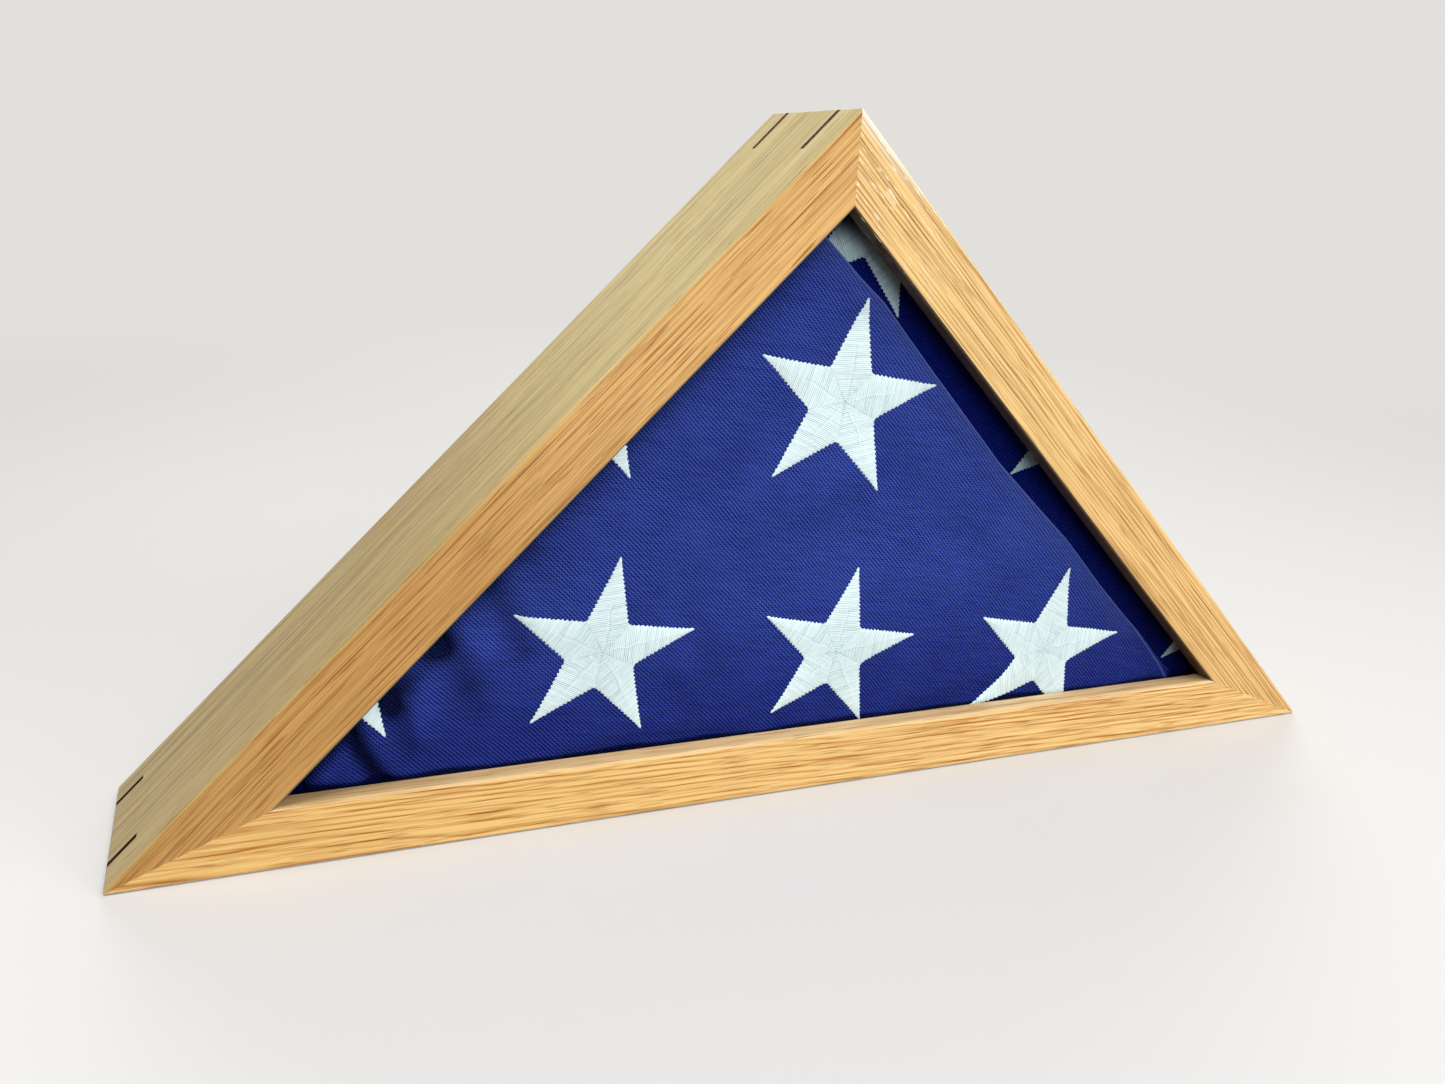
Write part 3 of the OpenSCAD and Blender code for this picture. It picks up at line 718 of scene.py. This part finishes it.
def makeBundle():
    look = bundleLook
    middle = (0.0, bundleLow.z + 0.30 * (bundleHigh.z - bundleLow.z))
    angle = np.linspace(0, 2 * np.pi, look["around"], endpoint=False)[None]
    radius = bundleOutline(angle, middle)
    shrink = np.linspace(0.02, 1, look["capRings"])[:, None] ** 0.8
    rim = look["rim"]
    thick = bundleHigh.y - bundleLow.y
    side = np.linspace(0, 1, look["sideRings"] + 2)[1:-1, None]

    def capDepth(share):
        fromEdge = (1 - share) * radius
        inside = np.clip(fromEdge / rim, 0, 1)
        return rim * 0.55 * (1 - np.sqrt(1 - (1 - inside) ** 2))

    y = bundleLow.y + rim * 0.55 + (thick - rim * 1.1) * side
    wave = np.abs(np.sin(np.pi * look["folds"] * side)) ** 0.6
    uneven = 1 + 0.35 * np.sin(3 * angle + 9 * side) + 0.25 * np.sin(7 * angle - 14 * side)
    inset = look["foldDepth"] * (1 - wave) * uneven
    inset = inset + 1.2 * mm * (2 * side - 1) ** 2
    capRadius = radius * shrink - look["foldDepth"] * shrink ** 30
    front = np.stack([middle[0] + capRadius * np.cos(angle),
                      bundleLow.y + capDepth(shrink),
                      middle[1] + capRadius * np.sin(angle)], -1)
    belly = np.stack([middle[0] + (radius - inset) * np.cos(angle),
                      y + angle * 0,
                      middle[1] + (radius - inset) * np.sin(angle)], -1)
    back = front[::-1].copy()
    back[..., 1] = bundleHigh.y - capDepth(shrink)[::-1]
    # the last flap, tucked in across the back
    flap = (back[..., 0] * 0.55 + back[..., 2] - 0.115) / 0.0015
    back[..., 1] -= 1.6 * mm * (1 - np.clip(flap, 0, 1)) * np.clip((1 - shrink[::-1]) * 12, 0, 1)
    grid = np.concatenate([front, belly, back])
    plain = grid[..., 0] * 0
    values = {"paintedFoldHighlight": plain, "paintedShadeAndHighlight": plain}
    piece = loftMesh("flag_bundle_cloth", grid, shadedCloth, values=values)
    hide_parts("flag_bundle")
    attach(piece, "flag")


makeBundle()
print("bundle folded")

# Embroidered stars
threadLooks = {
    # apex is the height band, in metres, where a star fades into painted shadow under the rails, and seam the
    # grey of the painted shade in the seams
    "whiteThread": {"apex": (0.4, 0.35), "light": paint(234, 248, 249), "dark": paint(162, 196, 205),
                    "seam": paint(142, 172, 176)},
    # shadedThread is a darker, greyer copy of whiteThread: painted shade for the covered stars, which lie in
    # shadow
    "shadedThread": {"apex": (0.277, 0.263), "light": paint(184, 206, 214), "dark": paint(118, 142, 154),
                     "seam": paint(92, 112, 118)},
}
stitchLook = {
    "pitch": 0.95 * mm,
    "relief": 0.00018,
    "roughness": 0.5,
}


# Satin stitch: the map's second coordinate counts across the stitches, in metres
def makeThread(name, look):
    material, tree, shader = newMaterial(name)
    place = addNode(tree, "UVMap", uv_map="stitchMap").outputs[0]
    axes = addNode(tree, "SeparateXYZ", {0: place})
    rows = calc(tree, "MULTIPLY", axes.outputs[1], 2 * math.pi / stitchLook["pitch"])
    stretched = addNode(tree, "Mapping", {"Vector": place, "Scale": (60, 1500, 1)}).outputs[0]
    uneven = noise(tree, stretched, 1.0, 2.0, 0.6)
    wider = addNode(tree, "Mapping", {"Vector": place, "Scale": (30, 380, 1)}).outputs[0]
    coarse = noise(tree, wider, 1.0, 2.0)
    ridge = calc(tree, "MULTIPLY_ADD", calc(tree, "SINE", rows), 0.30, 0.5)
    ridge = calc(tree, "MULTIPLY_ADD", calc(tree, "SUBTRACT", uneven, 0.5), 1.1, ridge)
    # a wavering crease along each arm's middle: a dip in the relief with painted shade on one side, and a
    # painted highlight on the other
    waver = calc(tree, "SUBTRACT", noise(tree, railSpace(tree, 0.0, (130, 130, 130)), 1.0, 2.0), 0.5)
    sideways = calc(tree, "MULTIPLY_ADD", waver, 5 * mm, axes.outputs[0])
    within = calc(tree, "MULTIPLY", smoothStep(tree, axes.outputs[1], 34 * mm, 18 * mm),
                  smoothStep(tree, axes.outputs[1], 1 * mm, 8 * mm))

    def besideMiddle(offset):
        off = calc(tree, "ABSOLUTE", calc(tree, "SUBTRACT", sideways, offset))
        return calc(tree, "MULTIPLY", smoothStep(tree, off, 0.8 * mm, 0.1 * mm), within)

    creaseReliefAndShade = besideMiddle(-0.35 * mm)
    paintedCrestHighlight = besideMiddle(0.5 * mm)
    ridge = calc(tree, "MULTIPLY_ADD", creaseReliefAndShade, -0.12, ridge)
    tone = calc(tree, "MULTIPLY_ADD", calc(tree, "SUBTRACT", coarse, 0.5), 0.6, ridge)
    tone = smoothStep(tree, tone, -0.05, 0.66)
    colour = blendColours(tree, tone, look["dark"], look["light"])
    # painted shade in the seams between the arms and beside each arm's middle crease, and greyer patches
    # about the star's middle
    patch = noise(tree, railSpace(tree, 0.0, (420, 420, 420)), 1.0, 2.0)
    patch = smoothStep(tree, patch, 0.40, 0.62)
    seam = addNode(tree, "Attribute", attribute_name="seamShade").outputs["Fac"]
    seam = calc(tree, "MULTIPLY", seam, calc(tree, "MULTIPLY_ADD", patch, 0.6, 0.4))
    paintedShadeGrey = calc(tree, "MULTIPLY_ADD", creaseReliefAndShade, 0.07, seam)
    colour = blendColours(tree, addNode(tree, "Clamp", {0: paintedShadeGrey}).outputs[0], colour, look["seam"])
    colour = blendColours(tree, calc(tree, "MULTIPLY", paintedCrestHighlight, 0.45), colour, look["light"])
    # painted shadow: near black where a star runs in under the rails at the apex
    high = addNode(tree, "SeparateXYZ", {0: addNode(tree, "TexCoord").outputs["Object"]}).outputs[2]
    lit = smoothStep(tree, high, *look["apex"])
    colour = blendColours(tree, lit, (0.004, 0.005, 0.008, 1), colour)
    tree.links.new(colour, shader.inputs["Base Color"])
    shader.inputs["Roughness"].default_value = stitchLook["roughness"]
    shader.inputs["Specular IOR Level"].default_value = 0.3
    bump = addNode(tree, "Bump", {"Strength": 0.8, "Distance": stitchLook["relief"], "Height": ridge})
    tree.links.new(bump.outputs[0], shader.inputs["Normal"])
    return material


whiteThread, shadedThread = (makeThread(name, look) for name, look in threadLooks.items())

starLook = {
    "innerShare": 0.382,
    "rows": 92,
    "across": 17,
    "under": 5,
    "puff": 0.62 * mm,
    "seam": 0.46 * mm,
    "ridge": 0.20 * mm,
    "tip": 0.5 * mm,
    "fray": 0.75 * mm,
    "overlap": 0.35 * mm,
}


# One arm of a star as a closed loft in its own plane. Rows are stitches across the arm, a kite
# that is widest at the star's inner corners, puffed in the middle and thin at its edges; every
# other stitch is pulled in. Returns along, sideways, height, the stitch map and the seams' painted shade.
def armGrid(radius, look, random):
    rows, across = look["rows"], look["across"]
    t = np.sin(np.linspace(-np.pi / 2, np.pi / 2, across))[None]
    reach = np.linspace(0.004, 1, rows)[:, None] * radius
    inner = look["innerShare"] * radius
    innerAlong = inner * math.cos(math.radians(36))
    innerHalf = inner * math.sin(math.radians(36))
    beyond = np.clip((reach - innerAlong) / (radius - innerAlong), 0, 1)
    half = np.where(reach < innerAlong, reach * math.tan(math.radians(36)), innerHalf * (1 - beyond))
    half = half + look["tip"] * beyond + look["overlap"] * np.clip(reach / innerAlong, 0, 1) * (1 - beyond)
    outer = np.clip(beyond / 0.06, 0, 1) * np.clip((1 - beyond) / 0.08, 0.25, 1)
    odd = (np.arange(rows)[:, None] // 2 % 2) * 0.8
    pulled = np.where(t > 0, odd + random.random((rows, 1)) * 0.5, odd + random.random((rows, 1)) * 0.5)
    sideways = half * t - np.sign(t) * np.abs(t) ** 6 * pulled * look["fray"] * outer
    slant = random.uniform(-0.14, 0.14) * beyond**0.5 * (1 - beyond)
    along = reach + slant * sideways + (random.random((rows, 1)) - 0.5) * 0.12 * mm
    edge = look["seam"] + (0.10 * mm - look["seam"]) * np.clip(beyond / 0.08, 0, 1)
    dome = (1 - np.abs(t) ** 3.2) ** 0.8
    ridge = look["ridge"] * np.exp(-((t / 0.16) ** 2)) * np.clip(reach / inner - 0.4, 0, 1)
    height = (edge + (look["puff"] - edge) * dome + ridge) * (1 - 0.45 * beyond**3)
    height = height + (random.random((rows, 1)) - 0.5) * 0.08 * mm * dome
    lean = random.uniform(0.12, 0.42) * random.choice([-1, 1])
    stitches = np.stack([sideways, reach + lean * sideways], -1)
    # painted shade in the seams between the arms, and greyer about the star's middle
    toSeam = half * (1 - np.abs(t)) / (0.5 * mm)
    shade = 0.34 * np.exp(-(toSeam**2)) * np.clip(1 - 8 * beyond, 0, 1)
    shade = shade + 0.20 * np.exp(-((reach / innerAlong) ** 2))
    w = np.linspace(1, -1, look["under"] + 2)[None, 1:-1]
    pick = ((w + 1) / 2 * (across - 1)).round().astype(int)[0]
    below = height[:, pick] * 0 - 0.25 * mm
    return (np.concatenate([along, along[:, pick]], 1), np.concatenate([sideways, sideways[:, pick]], 1),
            np.concatenate([height, below], 1), np.concatenate([stitches, stitches[:, pick]], 1),
            np.concatenate([shade, shade[:, pick]], 1))


# Stars as one piece: each is five arms laid on the surface that depthAt gives, kept within limits
def makeStars(name, places, depthAt, keepIn, thread, seed):
    random = np.random.default_rng(seed)
    points, maps, shades, corners, starts = [], [], [], [], []
    count, cornerCount = 0, 0
    for star in places:
        for arm in range(5):
            along, sideways, height, stitches, shade = armGrid(star["radius"], starLook, random)
            turn, stretch = star.get("bent", {}).get(arm, (0, 1))
            beyond = np.clip(along / star["radius"] - 0.3, 0, 0.7) / 0.7
            along = along * (1 + (stretch - 1) * beyond)
            angle = np.radians(90 + 72 * arm + star["turn"] + turn * beyond)
            c, s = np.cos(angle), np.sin(angle)
            x = star["place"][0] + along * c - sideways * s
            z = star["place"][1] + along * s + sideways * c
            x, z = keepIn(x, z)
            y = depthAt(x, z) - height
            grid = np.stack([x, y, z], -1)
            armCorners, armStarts = loftFaces(grid)
            points.append(grid.reshape(-1, 3))
            maps.append(stitches.reshape(-1, 2))
            shades.append(shade.ravel())
            corners.append(armCorners + count)
            starts.append(armStarts + cornerCount)
            count += len(points[-1])
            cornerCount += len(armCorners)
    piece = meshFrom(name, np.concatenate(points), np.concatenate(corners), np.concatenate(starts),
                     thread, np.concatenate(maps), {"seamShade": np.concatenate(shades)})
    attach(piece, "flag")
    return piece


frontStars = [
    {"place": (0.0110, 0.1938), "radius": 0.0493, "turn": -9.7},
    {"place": (-0.1058, 0.0791), "radius": 0.0467, "turn": -10.0},
    {"place": (0.0171, 0.0664), "radius": 0.0449, "turn": -11.7},
    {"place": (0.1460, 0.0533), "radius": 0.0478, "turn": -10.7, "bent": {2: (-10, 1.10)}},
    {"place": (-0.1150, 0.2048), "radius": 0.0475, "turn": -10.0},
    {"place": (-0.2261, 0.0921), "radius": 0.0475, "turn": -10.0},
]


# Points past the cloth's lower edge or left side are brought back onto it
def onFrontLayer(x, z):
    z = np.maximum(z, layerLow.z + 1.5 * mm)
    over = np.clip(z - x - (leftLine - 2.5 * mm), 0, None) / 2
    return x + over, z - over


starPiece = makeStars("flag_star_embroidery", frontStars,
                      lambda x, z: layerLow.y + layerDepth(x, z), onFrontLayer, whiteThread, 11)
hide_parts("flag_front_stars")

coveredStars = [
    {"place": (0.0245, 0.2775), "radius": 0.0475, "turn": -17},
    {"place": (0.1543, 0.1784), "radius": 0.0475, "turn": -20},
    {"place": (0.2753, 0.0629), "radius": 0.0475, "turn": -20},
]


# Points under the front layer, past the bundle's right or left side or below its lower edge are
# brought back onto the strip between them
def besideFrontLayer(x, z):
    apexSum = bundleHigh.z - 8 * mm
    half = (np.clip(x + z, foldSum + 1.5 * mm, apexSum) - x - z) / 2
    x, z = x + half, z + half
    over = np.clip(z - x - apexSum, 0, None) / 2
    z = np.maximum(z - over, bundleLow.z + 7 * mm)
    return np.minimum(x + over, apexSum - z), z


coveredPiece = makeStars("flag_covered_star_embroidery", coveredStars,
                         lambda x, z: bundleLow.y + x * 0, besideFrontLayer, shadedThread, 23)
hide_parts("flag_covered_stars")
print("stars stitched")

# Studio
stageLook = {
    "floorColour": paint(200, 198, 195),
    "unseenColour": paint(72, 62, 54),
    "paleColour": paint(226, 224, 221),
    "fadeStart": 0.55,
    "fadeEnd": 1.9,
    "around": 96,
    "rings": (0.01, 0.5, 1.0, 2.0, 4.0, 12.0),
}


# A round pale floor: shaded near the case and fading with distance to the background's colour
def makeStage():
    look = stageLook
    columns = look["around"]
    angle = np.linspace(0, 2 * np.pi, columns, endpoint=False)[None]
    radius = np.array(look["rings"])[:, None]
    level = radius * 0 + angle * 0
    points = np.stack([radius * np.cos(angle), radius * np.sin(angle), level], -1).reshape(-1, 3)
    i, j = np.meshgrid(np.arange(len(radius) - 1) * columns, np.arange(columns), indexing="ij")
    k = (j + 1) % columns
    faces = np.stack([i + j, i + columns + j, i + columns + k, i + k], -1).reshape(-1, 4)
    middle = np.arange(columns)
    corners = np.concatenate([faces.ravel(), middle]).astype(np.int32)
    starts = (np.arange(len(faces) + 1) * 4).astype(np.int32)
    material, tree, shader = newMaterial("paleFloor")
    point = addNode(tree, "TexCoord").outputs["Object"]
    far = addNode(tree, "VectorMath", {0: point}, operation="LENGTH").outputs["Value"]
    fade = smoothStep(tree, far, look["fadeStart"], look["fadeEnd"])
    path = addNode(tree, "LightPath").outputs
    seen = calc(tree, "MAXIMUM", path["Is Camera Ray"], path["Is Transmission Ray"])
    seen = calc(tree, "MAXIMUM", seen, path["Is Glossy Ray"])
    colour = blendColours(tree, seen, look["unseenColour"], look["floorColour"])
    tree.links.new(colour, shader.inputs["Base Color"])
    shader.inputs["Roughness"].default_value = 0.8
    glow = addNode(tree, "Emission", {"Color": look["paleColour"], "Strength": 1.0})
    share = calc(tree, "MULTIPLY", fade, seen)
    mixed = addNode(tree, "MixShader", {0: share, 1: shader.outputs[0], 2: glow.outputs[0]})
    tree.links.new(mixed.outputs[0], tree.nodes["Material Output"].inputs["Surface"])
    floor = meshFrom("paleFloor", points, corners, starts, material)
    world = bpy.data.worlds.new("studio")
    bpy.context.scene.world = world
    world.use_nodes = True
    tree = world.node_tree
    path = addNode(tree, "LightPath").outputs
    seen = calc(tree, "MAXIMUM", path["Is Camera Ray"], path["Is Transmission Ray"])
    seen = calc(tree, "MAXIMUM", seen, path["Is Glossy Ray"])
    soft = addNode(tree, "Background", {"Color": (0.93, 0.96, 1.0, 1), "Strength": 0.25})
    pale = addNode(tree, "Background", {"Color": look["paleColour"], "Strength": 1.0})
    mixed = addNode(tree, "MixShader", {0: seen, 1: soft.outputs[0], 2: pale.outputs[0]})
    tree.links.new(mixed.outputs[0], tree.nodes["World Output"].inputs["Surface"])


lampLooks = {
    "keyLamp": {"at": (-0.30, -2.15, 1.00), "size": 1.2, "watts": 33, "colour": (0.98, 0.99, 1.0)},
    "sideLamp": {"at": (1.7, -1.6, 1.0), "size": 1.2, "watts": 30, "colour": (1.0, 0.98, 0.96)},
    "topLamp": {"at": (-0.55, -0.35, 2.2), "size": 1.0, "watts": 42, "colour": (0.97, 0.98, 1.0)},
    "backLamp": {"at": (0.9, 2.1, 1.5), "size": 1.4, "watts": 40, "colour": (1.0, 0.99, 0.97)},
}


def makeLamps():
    aim = Vector((0, 0, 0.14))
    for name, look in lampLooks.items():
        lamp = bpy.data.lights.new(name, "AREA")
        lamp.size = look["size"]
        lamp.energy = look["watts"]
        lamp.color = look["colour"]
        holder = bpy.data.objects.new(name, lamp)
        holder.location = look["at"]
        holder.rotation_euler = (aim - Vector(look["at"])).to_track_quat("-Z", "Y").to_euler()
        holder.visible_camera = False
        holder.visible_glossy = False
        bpy.context.scene.collection.objects.link(holder)


makeStage()
makeLamps()
print("studio lit")

cameraLook = {
    "place": (-0.2578, -0.5292, 0.2956),
    "heading": math.radians(21.683),  # towards +X from +Y
    "down": math.radians(17.344),
    "roll": math.radians(2.611),
    "focalPixels": 1202.7,
    "imageWidth": 1445,
    "shiftPixels": (23.4, 3.4),  # shift of the lens, right and up, in pixels of the image
}


def makeCamera(look):
    ahead = Vector((math.sin(look["heading"]) * math.cos(look["down"]),
                    math.cos(look["heading"]) * math.cos(look["down"]), -math.sin(look["down"])))
    level = Vector((math.cos(look["heading"]), -math.sin(look["heading"]), 0))
    upright = level.cross(ahead)
    right = level * math.cos(look["roll"]) + upright * math.sin(look["roll"])
    up = upright * math.cos(look["roll"]) - level * math.sin(look["roll"])
    data = bpy.data.cameras.new("camera")
    data.sensor_width = 36
    data.lens = look["focalPixels"] / look["imageWidth"] * data.sensor_width
    data.shift_x = look["shiftPixels"][0] / look["imageWidth"]
    data.shift_y = look["shiftPixels"][1] / look["imageWidth"]
    data.clip_start = 0.01
    holder = bpy.data.objects.new("camera", data)
    turned = Matrix((right, up, -ahead)).transposed().to_4x4()
    holder.matrix_world = Matrix.Translation(look["place"]) @ turned
    bpy.context.scene.collection.objects.link(holder)
    bpy.context.scene.camera = holder


makeCamera(cameraLook)
bpy.context.scene.view_settings.view_transform = "Standard"
